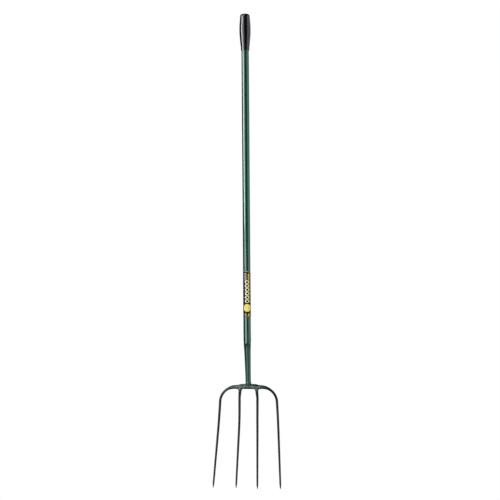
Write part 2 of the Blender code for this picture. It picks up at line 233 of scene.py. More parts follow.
class Nodes:
    """Small helper that adds nodes to a new material."""

    def __init__(self, name):
        self.material = bpy.data.materials.new(name)
        self.material.use_nodes = True
        self.tree = self.material.node_tree
        self.shader = self.tree.nodes["Principled BSDF"]
        self.where = self.tree.nodes.new("ShaderNodeTexCoord").outputs["Object"]

    def link(self, output, target):
        self.tree.links.new(output, target)

    def set(self, **values):
        for key, value in values.items():
            self.shader.inputs[key.replace("_", " ")].default_value = value

    def noise(self, scale, detail=2.0, roughness=0.5, stretch=None):
        node = self.tree.nodes.new("ShaderNodeTexNoise")
        node.inputs["Scale"].default_value = scale
        node.inputs["Detail"].default_value = detail
        node.inputs["Roughness"].default_value = roughness
        where = self.where
        if stretch:
            mapping = self.tree.nodes.new("ShaderNodeMapping")
            mapping.inputs["Scale"].default_value = stretch
            self.link(self.where, mapping.inputs["Vector"])
            where = mapping.outputs["Vector"]
        self.link(where, node.inputs["Vector"])
        return node.outputs["Fac"]

    def along(self, axis):
        """Position in metres along an axis (0 is x)."""
        node = self.tree.nodes.new("ShaderNodeSeparateXYZ")
        self.link(self.where, node.inputs["Vector"])
        return node.outputs[axis]

    def math(self, operation, value, constant=0.0):
        node = self.tree.nodes.new("ShaderNodeMath")
        node.operation = operation
        self.link(value, node.inputs[0])
        node.inputs[1].default_value = constant
        return node.outputs["Value"]

    def ramp(self, value, stops):
        """Map a value through colour stops given as (position, colour)."""
        node = self.tree.nodes.new("ShaderNodeValToRGB")
        while len(node.color_ramp.elements) < len(stops):
            node.color_ramp.elements.new(0.5)
        for element, (position, colour) in zip(node.color_ramp.elements, stops):
            element.position = position
            element.color = (*colour, 1.0)
        self.link(value, node.inputs["Fac"])
        return node.outputs["Color"]

    def range(self, value, low, high, from_low=0.3, from_high=0.7):
        """Map from_low..from_high on to low..high."""
        node = self.tree.nodes.new("ShaderNodeMapRange")
        node.inputs["From Min"].default_value = from_low
        node.inputs["From Max"].default_value = from_high
        node.inputs["To Min"].default_value = low
        node.inputs["To Max"].default_value = high
        self.link(value, node.inputs["Value"])
        return node.outputs["Result"]

    def add(self, a, b, weight=1.0):
        """a plus b times its weight."""
        node = self.tree.nodes.new("ShaderNodeMath")
        node.operation = "MULTIPLY_ADD"
        self.link(b, node.inputs[0])
        node.inputs[1].default_value = weight
        self.link(a, node.inputs[2])
        return node.outputs["Value"]

    def bump(self, height, distance, strength=1.0):
        node = self.tree.nodes.new("ShaderNodeBump")
        node.inputs["Distance"].default_value = distance
        node.inputs["Strength"].default_value = strength
        self.link(height, node.inputs["Height"])
        self.link(node.outputs["Normal"], self.shader.inputs["Normal"])

    def colour(self, output):
        self.link(output, self.shader.inputs["Base Color"])

    def gloss(self, output):
        self.link(output, self.shader.inputs["Roughness"])


def shaft_paint():
    """Glossy green enamel on drawn tube: faint orange peel and slight runs along the tube."""
    n = Nodes("shaft_enamel_green")
    patches = n.noise(14.0, 3.0, 0.55, stretch=(1.0, 1.0, 0.25))
    n.colour(n.ramp(patches, [(0.3, (0.0010, 0.025, 0.0142)), (0.7, (0.0017, 0.032, 0.0186))]))
    n.gloss(n.range(n.noise(90.0, 3.0), 0.07, 0.12))
    peel = n.noise(620.0, 1.0)
    n.bump(n.add(peel, n.noise(120.0, 1.0), 2.0), 0.000004)
    n.set(Specular_Tint=(0.72, 1.0, 0.94, 1.0), Specular_IOR_Level=0.65)
    return n.material


def head_paint():
    """The same green, satin and thicker over the forging and the welds, whose rough skin shows through."""
    n = Nodes("head_enamel_green")
    patches = n.noise(60.0, 4.0, 0.6)
    n.colour(n.ramp(patches, [(0.32, (0.0030, 0.0110, 0.0085)), (0.68, (0.0060, 0.0200, 0.0155))]))
    n.gloss(n.range(n.noise(220.0, 4.0, 0.6), 0.17, 0.27))
    scale = n.noise(150.0, 3.0, 0.6)
    n.bump(n.add(scale, n.noise(700.0, 2.0), 0.35), 0.00006)
    n.set(Specular_Tint=(0.80, 1.0, 0.94, 1.0), Specular_IOR_Level=0.80)
    return n.material


def tine_paint():
    """Dark enamel on the drawn-out tines, near black lower down; the lighter green towards the head is a
    painted highlight.
    """
    n = Nodes("tine_enamel_dark_painted_root_highlight")
    across = n.math("MAXIMUM", n.math("ABSOLUTE", n.along(0)), 0.035)
    # Nearness to the head, falling down the tines and round the arms: the mask of the painted highlight by
    # the head
    highlight_nearness = n.add(n.along(2), across, -0.6)
    highlight_nearness = n.add(highlight_nearness, n.noise(45.0, 4.0, 0.6), 0.012)
    # near is the painted highlight, a lighter green by the head; far is the coat's own near black
    near, middle, far = (0.028, 0.056, 0.049), (0.015, 0.032, 0.028), (0.0012, 0.0030, 0.0026)
    share = n.range(highlight_nearness, 0.0, 1.0, -0.0320, -0.0080)
    n.colour(n.ramp(share, [(0.0, far), (0.55, middle), (1.0, near)]))
    n.gloss(n.range(n.noise(180.0, 4.0, 0.6), 0.13, 0.21))
    n.bump(n.add(n.noise(170.0, 3.0, 0.6), n.noise(800.0, 2.0), 0.35), 0.00003)
    n.set(Specular_Tint=(0.88, 1.0, 0.97, 1.0), Specular_IOR_Level=0.21)
    return n.material


def grip_plastic():
    """Black moulded plastic, satin, with faint flow marks down its length."""
    n = Nodes("grip_plastic_black")
    flow = n.noise(40.0, 3.0, 0.5, stretch=(1.0, 1.0, 0.18))
    n.colour(n.ramp(flow, [(0.3, (0.0018, 0.0015, 0.0024)), (0.7, (0.0030, 0.0026, 0.0038))]))
    n.gloss(n.range(n.noise(130.0, 4.0, 0.6), 0.12, 0.19))
    n.bump(n.add(n.noise(900.0, 2.0), flow, 3.0), 0.000005)
    n.set(Specular_Tint=(0.97, 0.93, 1.0, 1.0), Specular_IOR_Level=0.42)
    return n.material


def label_stock():
    """Near-black printed film under a clear gloss laminate."""
    n = Nodes("label_film_black")
    speck = n.noise(520.0, 3.0, 0.6)
    n.colour(n.ramp(speck, [(0.35, (0.0045, 0.0038, 0.0016)), (0.7, (0.0100, 0.0085, 0.0034))]))
    n.gloss(n.range(n.noise(70.0, 2.0), 0.26, 0.36))
    n.bump(n.noise(55.0, 2.0), 0.00003)
    n.set(Specular_Tint=(1.0, 0.96, 0.78, 1.0), Specular_IOR_Level=0.11)
    return n.material


def ink(name, dark, light):
    """Flat printing ink, faintly mottled between two colours."""
    n = Nodes(name)
    n.colour(n.ramp(n.noise(760.0, 4.0, 0.6), [(0.35, dark), (0.65, light)]))
    n.gloss(n.range(n.noise(90.0, 2.0), 0.28, 0.38))
    n.bump(n.noise(300.0, 2.0), 0.00001)
    n.set(Specular_IOR_Level=0.12)
    return n.material


ENAMEL = shaft_paint()
FORGED = head_paint()
DRAWN = tine_paint()
PLASTIC = grip_plastic()
FILM = label_stock()
CREAM = ink("ink_cream", (0.58, 0.56, 0.42), (0.70, 0.68, 0.53))
STRAW = ink("ink_straw", (0.50, 0.45, 0.24), (0.62, 0.56, 0.32))
GOLD = ink("ink_gold", (0.52, 0.41, 0.085), (0.62, 0.50, 0.120))
BRASS = ink("ink_brass", (0.360, 0.285, 0.080), (0.460, 0.375, 0.120))
STONE = ink("ink_stone", (0.20, 0.19, 0.130), (0.30, 0.29, 0.20))
OLIVE = ink("ink_olive", (0.110, 0.095, 0.022), (0.170, 0.150, 0.040))


# --- shaft ---------------------------------------------------------------------------------------------

TUBE_SIDES = 96
LEG_UP = Vector((0.0, SHAFT_Y, BEND_Z - HEAD_MID_Z)).normalized()
LEAN = math.acos(LEG_UP.z)
BEND_TANGENT = BEND_RADIUS * math.tan(LEAN / 2.0)
BEND_CENTRE = Vector((0.0, SHAFT_Y + BEND_RADIUS, BEND_Z + BEND_TANGENT))


def on_lower_leg(z):
    return Vector((0.0, 0.0, HEAD_MID_Z)) + LEG_UP * ((z - HEAD_MID_Z) / LEG_UP.z)


def on_axis(z):
    """Point of the tube's axis at height z, over the lower leg, the bend and the straight shaft."""
    if z >= BEND_CENTRE.z:
        return Vector((0.0, SHAFT_Y, z))
    if z <= BEND_Z - BEND_TANGENT * LEG_UP.z:
        return on_lower_leg(z)
    angle = math.asin((BEND_CENTRE.z - z) / BEND_RADIUS)
    return Vector((0.0, BEND_CENTRE.y - math.cos(angle) * BEND_RADIUS, z))


def swage_radius(z):
    for (low, low_radius), (high, high_radius) in zip(SWAGE, SWAGE[1:]):
        if z <= high:
            return mix(low_radius, high_radius, max(z - low, 0.0) / (high - low))
    return TUBE_RADIUS


def tube_radius(z):
    """The swage's outline with its corners eased over a few millimetres."""
    shifts = (-6, -3, 0, 3, 6)
    return sum(swage_radius(z + shift * MM) for shift in shifts) / len(shifts)


def make_tube():
    """The open tube, with sections close together up the swage and the bend."""
    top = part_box("shaft_tube")[1].z
    heights = [on_lower_leg(FOOT_Z).z] + steps(0.022, 0.180, 0.003) + steps(0.20, top, 0.04)
    path = [on_axis(z) for z in heights]
    outside, inside = [], []
    for i, point in enumerate(path):
        radius = tube_radius(point.z)
        bore = radius - TUBE_WALL
        outside.append(section_at(path, i, squircle(radius, radius, TUBE_SIDES)))
        inside.append(section_at(path, i, squircle(bore, bore, TUBE_SIDES)))
    return skin("shaft_tube_enamelled", outside + inside[::-1], ENAMEL, closed=True)


# --- grip ----------------------------------------------------------------------------------------------

CENTRE_DIMPLE = [(0.00035, 0.0007), (0.0001, 0.0011)]  # (drop, radius) inside the nub
FLASH_HEIGHT, FLASH_DEGREES = 0.00011, 0.75  # the line where the mould's halves met
SINK_DEPTH, SINK_DROP, SINK_SPAN = 0.00008, 0.056, 0.03  # the slight hollow of the cooled sides


def smooth_profile(points, per_span):
    """Catmull-Rom curve through a list of (drop, radius)."""
    made = []
    for i in range(len(points) - 1):
        p0, p1 = Vector(points[max(i - 1, 0)]), Vector(points[i])
        p2, p3 = Vector(points[i + 1]), Vector(points[min(i + 2, len(points) - 1)])
        for k in range(per_span):
            t = k / per_span
            made.append(0.5 * (2 * p1 + (p2 - p0) * t + (2 * p0 - 5 * p1 + 4 * p2 - p3) * t * t
                               + (3 * p1 - p0 - 3 * p2 + p3) * t * t * t))
    made.append(Vector(points[-1]))
    return [(p.x, p.y) for p in made]


def grip_angles():
    """Even steps round the grip, with close ones where the mould's two halves met."""
    fine = [math.radians(a) for a in (-2.4, -1.6, -0.9, -0.4, 0.0, 0.4, 0.9, 1.6, 2.4)]
    coarse = [math.radians(a) for a in range(6, 175, 4)]
    half = fine + coarse
    return half + [a + math.pi for a in half]


def make_grip():
    """The moulded grip, from the dimple in its crown down the outside and up its bore."""
    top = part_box("grip")[1].z
    angles = grip_angles()
    bore = TUBE_RADIUS + GRIP_GAP
    rings = []
    for drop, radius in CENTRE_DIMPLE + smooth_profile(GRIP_PROFILE, 5):
        ring = []
        on_body = ease((drop - 0.0012) / 0.004) * ease((0.1245 - drop) / 0.002)
        hollow = -SINK_DEPTH * math.exp(-((drop - SINK_DROP) / SINK_SPAN) ** 2)
        for a in angles:
            off = math.degrees((a + math.pi / 2.0) % math.pi - math.pi / 2.0)
            flash = FLASH_HEIGHT * math.exp(-((off / FLASH_DEGREES) ** 2)) * on_body
            sink = hollow * (1 + math.cos(2 * a)) / 2.0
            r = radius + flash + sink * on_body
            ring.append(Vector((r * math.cos(a), SHAFT_Y + r * math.sin(a), top - drop)))
        rings.append(ring)
    for drop in (GRIP_PROFILE[-1][0], GRIP_CROWN - GRIP_GAP):
        ring = [(bore * math.cos(a), SHAFT_Y + bore * math.sin(a), top - drop) for a in angles]
        rings.append([Vector(point) for point in ring])
    return skin("grip_moulding", rings, PLASTIC, sharp_angle=GRIP_SHARP_ANGLE)


# --- label ---------------------------------------------------------------------------------------------

LABEL_LOW, LABEL_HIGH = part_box("shaft_label")
LABEL_TOP_Z = LABEL_HIGH.z - LABEL_SLANT / 2.0
FILM_THICKNESS = 0.00014
FILM_OUTER = LABEL_BORE + FILM_THICKNESS
FILM_END = 0.0006  # radians left between the film's ends and the middle of the back
OVERLAP_STEP = 0.00006  # the film's end lies this much further out than its start, at the back
PRINT_SINK = 0.00006  # each print reaches this far into the film
MIDDLE_S = 0.0023  # the ornament's centre line, a little to the right of the front


def film_radius(angle):
    """Outer radius of the wrapped film; angle is 0 at the front and grows towards the right."""
    return FILM_OUTER + OVERLAP_STEP * (angle + math.pi) / (2.0 * math.pi)


def label_top(angle):
    """Height of the label's slanted top edge."""
    return LABEL_TOP_Z - LABEL_SLANT / 2.0 * math.sin(angle)


def on_label(angle, z, lift):
    """Point on the film's face, raised by lift."""
    r = film_radius(angle) + lift
    return Vector((r * math.sin(angle), SHAFT_Y - r * math.cos(angle), z))


def make_film():
    """The film, as columns of (inner, outer) points at each angle round the tube."""
    angles = steps(-math.pi + FILM_END, math.pi - FILM_END, math.radians(2.8))
    bottom = LABEL_LOW.z
    shape = bmesh.new()
    loops = []
    for a in angles:
        inner = Vector((LABEL_BORE * math.sin(a), SHAFT_Y - LABEL_BORE * math.cos(a), 0.0))
        column = []
        for z in steps(bottom, label_top(a), 0.0125)[:-1] + [label_top(a)]:
            column.append((inner + Vector((0, 0, z)), on_label(a, z, 0.0)))
        loops.append(column)
    count = min(len(c) for c in loops)
    loops = [c[:count - 1] + [c[-1]] for c in loops]
    verts = [[(shape.verts.new(i), shape.verts.new(o)) for i, o in column] for column in loops]
    for left, right in zip(verts, verts[1:]):
        for k in range(count - 1):
            shape.faces.new((left[k][1], right[k][1], right[k + 1][1], left[k + 1][1]))
            shape.faces.new((left[k][0], left[k + 1][0], right[k + 1][0], right[k][0]))
        shape.faces.new((left[0][0], right[0][0], right[0][1], left[0][1]))
        shape.faces.new((left[-1][0], left[-1][1], right[-1][1], right[-1][0]))
    for column in (verts[0], verts[-1]):
        for k in range(count - 1):
            shape.faces.new((column[k][0], column[k][1], column[k + 1][1], column[k + 1][0]))
    return finish_mesh(shape, "label_film", FILM)


class Print:
    """One ink: many small solid patches wrapped round the label. Places are (run round the tube, z)."""

    def __init__(self, name, material, lift):
        self.name, self.material, self.lift = name, material, lift
        self.shape = bmesh.new()

    def patch(self, rows, ring=False):
        """rows is a grid of (s, z); ring joins the last row to the first."""
        def place(point, lift):
            s, z = point
            return self.shape.verts.new(on_label(s / FILM_OUTER, z, lift))

        top = [[place(p, self.lift) for p in row] for row in rows]
        under = [[place(p, -PRINT_SINK) for p in row] for row in rows]
        count = len(rows)
        new_face = self.shape.faces.new
        last = count if ring else count - 1
        for i in range(last):
            j = (i + 1) % count
            for k in range(len(rows[0]) - 1):
                new_face((top[i][k], top[j][k], top[j][k + 1], top[i][k + 1]))
                new_face((under[i][k], under[i][k + 1], under[j][k + 1], under[j][k]))
            for k in (0, -1):
                new_face((top[i][k], under[i][k], under[j][k], top[j][k]))
        if not ring:
            for i in (0, -1):
                for k in range(len(rows[0]) - 1):
                    new_face((top[i][k], top[i][k + 1], under[i][k + 1], under[i][k]))

    def leaf(self, s, z, length, width, turn, bow=0.0):
        """A pointed leaf from its base at (s, z), turned from upright by turn degrees towards the right."""
        rows = []
        c, d = math.cos(math.radians(turn)), math.sin(math.radians(turn))
        for i in range(11):
            t = i / 10.0
            half = 0.00006 + width / 2.0 * math.sin(math.pi * t) ** 0.85
            mid = bow * math.sin(math.pi * t)
            row = []
            for k in (-1.0, -0.33, 0.33, 1.0):
                across, along = mid + half * k, length * t
                row.append((s + along * d + across * c, z + along * c - across * d))
            rows.append(row)
        self.patch(rows)

    def disc(self, s, z, radius):
        """A round patch, with a pinhole at its centre."""
        rows = []
        for i in range(48):
            a = 2.0 * math.pi * i / 48
            radii = steps(radius * 0.04, radius, 0.0011)
            rows.append([(s + r * math.sin(a), z + r * math.cos(a)) for r in radii])
        self.patch(rows, ring=True)

    def link(self, s, z, half_width, half_height, hole_width, hole_height, side):
        """Half of an oval ring, left or right of s, with its own hole."""
        rows = []
        for i in range(25):
            a = math.pi * i / 24.0
            c, d = math.cos(a), side * math.sin(a)
            outer = Vector((half_width * d, half_height * c))
            inner = Vector((hole_width * d, hole_height * c))
            row = [inner.lerp(outer, k / 3.0) for k in range(4)]
            rows.append([(s + p.x, z + p.y) for p in row])
        self.patch(rows)

    def bar(self, s0, s1, z0, z1):
        """A level block."""
        self.patch([[(s, z0), (s, z1)] for s in steps(s0, s1, 0.0007)])

    def hoop(self, low, high):
        """A line right round the label; low and high give its edges at an angle."""
        full = math.pi * FILM_OUTER - 0.0002
        rows = []
        for s in steps(-full, full, 0.0006):
            a = s / FILM_OUTER
            rows.append([(s, low(a)), (s, high(a))])
        self.patch(rows)

    def done(self):
        return finish_mesh(self.shape, self.name, self.material)


def make_prints():
    """Plain ornament: two sprigs, a chain of rings, a round rosette and a ruled foot."""
    inks = [("cream", CREAM, 0.00006), ("gold", GOLD, 0.00005), ("brass", BRASS, 0.00007)]
    inks += [("straw", STRAW, 0.00005), ("stone", STONE, 0.00004), ("olive", OLIVE, 0.00003)]
    prints = [Print(f"label_print_{name}", ink_, lift) for name, ink_, lift in inks]
    cream, gold, brass, straw, stone, olive = prints
    brass.hoop(lambda a: label_top(a) - 0.0030, lambda a: label_top(a) - 0.0016)
    make_sprigs(gold, brass, stone, olive)
    make_chain(cream, straw, olive)
    make_rosette(gold, brass)
    make_ruled_foot(brass, stone)
    return [each.done() for each in prints]


def make_sprigs(gold, brass, stone, olive):
    """Two sprigs side by side below the top line."""
    base, top = 0.3700, 0.3965
    for i in range(6):
        z = base + i * 0.0044
        stone.leaf(MIDDLE_S - 0.0056, z, 0.0062, 0.0030, -38.0)
        stone.leaf(MIDDLE_S - 0.0056, z + 0.0006, 0.0060, 0.0028, 34.0)
        if i < 5:
            olive.leaf(MIDDLE_S + 0.0050, z, 0.0062, 0.0026, -42.0)
            brass.leaf(MIDDLE_S + 0.0048, z + 0.0008, 0.0062, 0.0030, 34.0)
    gold.leaf(MIDDLE_S + 0.0050, top - 0.0090, 0.0080, 0.0050, 12.0)


def make_chain(cream, straw, olive):
    """A chain of flat ring links, cream on the left and straw on the right, over olive bars."""
    pitch, start, links = 0.01290, 0.2952, 6
    olive.bar(MIDDLE_S - 0.0050, MIDDLE_S + 0.0050, start, start + 0.0014)
    for i in range(links):
        z = start + (i + 0.5) * pitch
        cream.link(MIDDLE_S, z, 0.0074, 0.0056, 0.0040, 0.0037, -1.0)
        straw.link(MIDDLE_S, z, 0.0076, 0.0056, 0.0040, 0.0037, 1.0)
        z += pitch / 2.0
        olive.bar(MIDDLE_S - 0.0068, MIDDLE_S + 0.0070, z - 0.0014, z + 0.0014)
    olive.bar(MIDDLE_S + 0.0086, MIDDLE_S + 0.0106, start, start + links * pitch)


def make_rosette(gold, brass):
    """A plain disc with ten short rays."""
    s, z = MIDDLE_S - 0.0002, 0.2787
    gold.disc(s, z, 0.0130)
    for i in range(10):
        turn = math.radians(36.0 * i)
        brass.leaf(s + 0.0030 * math.sin(turn), z + 0.0030 * math.cos(turn), 0.0086, 0.0009, 36.0 * i)


def make_ruled_foot(brass, stone):
    """Blocks in two inks, each ruled across, above a thin line."""
    low = LABEL_LOW.z
    stone.hoop(lambda a: low + 0.0012, lambda a: low + 0.0019)
    for i in (-3, -2, 0, 1, 3):
        s = MIDDLE_S - 0.0056 + i * 0.0112
        mark = brass if i % 2 else stone
        for k in range(4):
            mark.bar(s - 0.0032, s + 0.0032, low + 0.0036 + k * 0.0024, low + 0.0053 + k * 0.0024)


# --- head ----------------------------------------------------------------------------------------------

# Raised strands on the faces of the crosshead as ((x, z) points, height, width): one sweeps from under
# the shaft out to each inner root, the other runs on from there into the arm
ROOT_STRAND = [(0.0, 0.0116), (0.009, 0.0114), (0.017, 0.0096), (0.0235, 0.0055), (0.0275, -0.0010)]
ARM_STRAND = [(0.021, 0.0088), (0.028, 0.0092), (0.036, 0.0080)]
STRANDS = [(ROOT_STRAND, 0.0006, 0.0018), (ARM_STRAND, 0.0006, 0.0020)]
STRAND_ROOM = 0.0002  # the faces lie this much lower, to offset part of the strands' height
FACE_TRIM = 0.0004  # each face of the middle is set in by this much, which fades out to the ends
MIDDLE_SQUARENESS = 2.25
LAND_EASE = 0.0015  # run over which the underside rises beyond the flat land
CREASE_DEPTH = 0.44  # share of the depth lost at the foot of the arch between the inner roots
CREASE_SPAN = (0.013, 0.0205)
CREASE_TOP = (0.0094, 0.0010)  # height from which it is undercut, in the middle and further out
CREASE_TOP_SPAN = (0.005, 0.015)  # where that height starts to fall, and over what run


def strand_height(x, z):
    """Height of the tallest strand at a place on the face."""
    spot, total = Vector((abs(x), z)), 0.0
    for points, height, width in STRANDS:
        best = 1.0
        for a, b in zip(points, points[1:]):
            a, b = Vector(a), Vector(b)
            share = min(max((spot - a).dot(b - a) / (b - a).length_squared, 0.0), 1.0)
            best = min(best, (spot - a.lerp(b, share)).length)
        total = max(total, height * math.exp(-((best / width) ** 2)))
    return total


def bar_section(x, sides):
    """Section of the crosshead: flat-bottomed and undercut in the middle, squarer at its ends."""
    share = ease((abs(x) - BOSS_HALF_LENGTH) / (HEAD_HALF_LENGTH - BOSS_HALF_LENGTH))
    floor = LAND_HEIGHT * ease((abs(x) - LAND_HALF_LENGTH) / LAND_EASE)
    top = mix(HEAD_TOP_Z, ARM_Z + ARM_HALF_HEIGHT, share)
    bottom = mix(floor, ARM_Z - ARM_HALF_HEIGHT, share)
    low = bottom - mix(LAND_FLATTEN, 0.0, share)
    half_depth = mix(HEAD_HALF_DEPTH, END_HALF_DEPTH, share) - FACE_TRIM * (1.0 - share)
    centre, half_height = (top + low) / 2.0, (top - low) / 2.0
    crease = mix(*CREASE_TOP, ease((abs(x) - CREASE_TOP_SPAN[0]) / CREASE_TOP_SPAN[1]))
    crease_end = ease((abs(x) - CREASE_SPAN[0]) / (CREASE_SPAN[1] - CREASE_SPAN[0]))
    depth = CREASE_DEPTH * (1.0 - crease_end)
    ring = []
    power = mix(MIDDLE_SQUARENESS, BAR_SQUARENESS, share)
    for u, v in squircle(half_height, half_depth, sides, power):
        v *= 1.0 - depth * max(crease - centre - u, 0.0) / (crease - low)
        z = max(centre + u, bottom)
        point = Vector((x, v, z))
        face = ease(abs(v) / half_depth * 1.6 - 0.5)
        swell = (strand_height(x, z) - STRAND_ROOM) * face
        swell += 0.00012 * rough(point, 0.012, 3.0) + 0.00003 * rough(point, 0.004, 5.0)
        if z <= bottom + 1e-6:
            swell = 0.0
        out = Vector((0.0, v, (z - centre) * 0.6))
        if out.length > 0.0:
            point += out.normalized() * swell
        point.z = max(point.z, bottom)
        ring.append(point)
    return ring


def combine(obj, other, operation):
    """Apply a Boolean and drop its operand."""
    modifier = obj.modifiers.new("combine", "BOOLEAN")
    modifier.operation, modifier.solver, modifier.object = operation, "EXACT", other
    bpy.context.view_layer.update()
    made = bpy.data.meshes.new_from_object(obj.evaluated_get(bpy.context.evaluated_depsgraph_get()))
    obj.modifiers.clear()
    obj.data = made
    bpy.data.objects.remove(other)
    made.shade_smooth()
    made.set_sharp_from_angle(angle=math.radians(SHARP_ANGLE))
    return obj


def make_crosshead():
    """The forging and the tang that stands up inside the tube, made one mesh."""
    end = HEAD_HALF_LENGTH
    xs = steps(-end, end, 0.0009)
    bar = skin("crosshead_forging", [bar_section(x, 96) for x in xs], FORGED)
    heights = [HEAD_MID_Z, HEAD_TOP_Z, 0.05, 0.09, TANG_TOP_Z - 0.004, TANG_TOP_Z]
    path = [on_lower_leg(z) for z in heights]
    rings = []
    for i, z in enumerate(heights):
        r = mix(TANG_FOOT_RADIUS, TANG_TIP_RADIUS, max(z - HEAD_TOP_Z, 0.0) / (TANG_TOP_Z - HEAD_TOP_Z))
        if i == len(heights) - 1:
            r *= 0.6
        rings.append(section_at(path, i, squircle(r, r, 48)))
    return combine(bar, skin("tang_shape", rings, FORGED), "UNION")


LONG_WAVE, SHORT_WAVE = 0.020, 0.012  # the forged waves, as shares of a tine's radius
WAVE_FADE = 0.04  # they fade out over this height above the tip


def dish(z):
    """How far forward a tine has bent at height z."""
    return -eased_run(z, *DISH_Z, DISH_SLOPE)


def blade_radius(z, tip_z):
    """The CAD radius: a slow taper to the neck, then the point."""
    neck_z = tip_z + POINT_LENGTH
    if z >= neck_z:
        share = min(max((SHOULDER_Z - z) / (SHOULDER_Z - neck_z), 0.0), 1.0)
        return mix(SHOULDER_RADIUS, NECK_RADIUS, share)
    return mix(NECK_RADIUS, TIP_RADIUS, ((neck_z - z) / POINT_LENGTH) ** 1.5)


def visual_radius(z, tip_z):
    """The CAD radius, a little less near the point."""
    share = ease((z - tip_z - POINT_LENGTH) / POINT_TRIM_RUN)
    return blade_radius(z, tip_z) * mix(POINT_TRIM, 1.0, share)


def drops(first_z, tip_z, spacing=0.0024):
    """Heights of the sections down a tine, closing up towards its tip."""
    neck_z = tip_z + POINT_LENGTH
    heights = steps(first_z, neck_z, spacing)[1:]
    return heights + [neck_z - POINT_LENGTH * (i / 12.0) for i in range(1, 13)]


def forged_ring(path, index, half_u, half_v, power, seed, fade):
    """A section with the slight facets and waves of drawn-out bar, faded to nothing by fade."""
    ring = section_at(path, index, squircle(half_u, half_v, 28, power))
    centre = path[index]
    made = []
    for point in ring:
        out = point - centre
        wave = LONG_WAVE * rough(point, 0.016, seed) + SHORT_WAVE * rough(point, 0.005, seed + 4.0)
        made.append(centre + out * (1.0 + wave * fade))
    return made


def make_outer_tine(side_name, side):
    """The arm out from the crosshead, round the bend, then down and forward to the point."""
    node = f"tine_outer_{side_name}"
    tip_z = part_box(node)[0].z + TIP_LEAN
    seed = 11.0 if side < 0 else 23.0
    centre = Vector((OUTER_ARC_X, 0.0, ARM_Z - OUTER_BEND_RADIUS))
    flat = [Vector((x, 0.0, ARM_Z)) for x in steps(JOINT_X - 0.0004, OUTER_ARC_X, 0.0012)]
    for angle in steps(math.pi / 2.0, OUTER_SPLAY, math.radians(2.0))[1:]:
        flat.append(centre + Vector((math.cos(angle), 0.0, math.sin(angle))) * OUTER_BEND_RADIUS)
    foot = flat[-1]
    for z in drops(foot.z, tip_z):
        flat.append(Vector((foot.x + (foot.z - z) * math.tan(OUTER_SPLAY), 0.0, z)))
    path = [Vector((side * p.x, dish(p.z), p.z)) for p in flat]
    rings, run = [], 0.0
    for i, point in enumerate(path):
        run += (point - path[i - 1]).length if i else 0.0
        share = ease((run - ARM_SWELL[0]) / (ARM_SWELL[1] - ARM_SWELL[0]))
        bar = mix(ARM_BAR_RADIUS, SHOULDER_RADIUS, min(max(point.z / SHOULDER_Z, 0.0), 1.0))
        bar = min(bar, visual_radius(point.z, tip_z))
        half_height = mix(ARM_HALF_HEIGHT, bar, share)
        half_depth = mix(END_HALF_DEPTH, bar, share)
        fade = ease((point.z - tip_z) / WAVE_FADE)
        power = mix(BAR_SQUARENESS, 2.0, share)
        rings.append(forged_ring(path, i, half_height, half_depth, power, seed, fade))
    return skin(f"{node}_forged", rings, DRAWN)


def inner_x(z):
    """Distance of an inner tine's axis from the middle, at height z."""
    lean = INNER_ROOT_IN * (1.0 - ease(-z / INNER_ROOT_RUN))
    return INNER_X - lean + eased_run(z, *INNER_SPLAY_Z, INNER_SPLAY)


def make_inner_tine(side_name, side):
    """A tine that hangs from under the crosshead, swollen at its root."""
    node = f"tine_inner_{side_name}"
    tip_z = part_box(node)[0].z + TIP_LEAN
    seed = 37.0 if side < 0 else 53.0
    heights = [0.0012] + steps(-0.0001, -0.033, 0.0015) + drops(-0.033, tip_z)
    path = [Vector((side * inner_x(z), dish(z), z)) for z in heights]
    rings = []
    for i, point in enumerate(path):
        share = ease((-point.z - ROOT_SWELL[0]) / (ROOT_SWELL[1] - ROOT_SWELL[0]))
        radius = mix(ROOT_RADIUS, visual_radius(point.z, tip_z), share)
        fade = ease((point.z - tip_z) / WAVE_FADE)
        rings.append(forged_ring(path, i, radius, radius, 2.0, seed, fade))
    return skin(f"{node}_forged", rings, DRAWN)


# --- welds ---------------------------------------------------------------------------------------------

def ripple(angle, count, skew, seed):
    """The overlapping scallops of a hand-laid bead, from -1 to 1, a little uneven."""
    wobble = 0.9 * noise.noise(Vector((math.cos(angle) * 1.3, math.sin(angle) * 1.3, seed)))
    phase = (angle * count / (2.0 * math.pi) + skew + wobble) % 1.0
    return 1.0 - 2.0 * abs(phase - 0.35) / (0.35 if phase < 0.35 else 0.65)


def make_root_weld(side_name, side):
    """Fillet round the top of an inner tine: concave, spreading under the crosshead."""
    face = [  # (height, half width, half depth)
        (0.0030, 0.0069, 0.0052), (0.0012, 0.0080, 0.0061), (0.0, 0.0078, 0.0061),
        (-0.0011, 0.0072, 0.00605), (-0.0022, 0.0067, 0.0060), (-0.0034, 0.00628, 0.00588),
        (-0.0046, 0.0059, 0.0057), (-0.0058, 0.0056, 0.0055), (-0.0068, 0.0052, 0.0052),
    ]
    hidden = [(-0.0060, 0.0045, 0.0045), (0.0020, 0.0045, 0.0045)]
    sides = 144
    rings = []
    for k, (z, half_width, half_depth) in enumerate(face + hidden):
        centre = side * inner_x(z)
        ring = []
        bead = ease((z + 0.0072) / 0.002) * ease((0.0035 - z) / 0.002) if k < len(face) else 0.0
        for i, (u, v) in enumerate(squircle(half_width, half_depth, sides)):
            angle = 2.0 * math.pi * i / sides
            lift = 0.00010 * ripple(angle, 22, z * 130.0, 3.0 + side) * bead
            lift += 0.00016 * rough(Vector((centre + u, v, z)), 0.0045, 7.0) * bead
            out = Vector((u, v, 0.0)).normalized()
            ring.append(Vector((centre + u, v, z)) + out * lift)
        rings.append(ring)
    return skin(f"weld_inner_{side_name}_bead", rings, FORGED, closed=True, sharp_angle=WELD_SHARP_ANGLE)


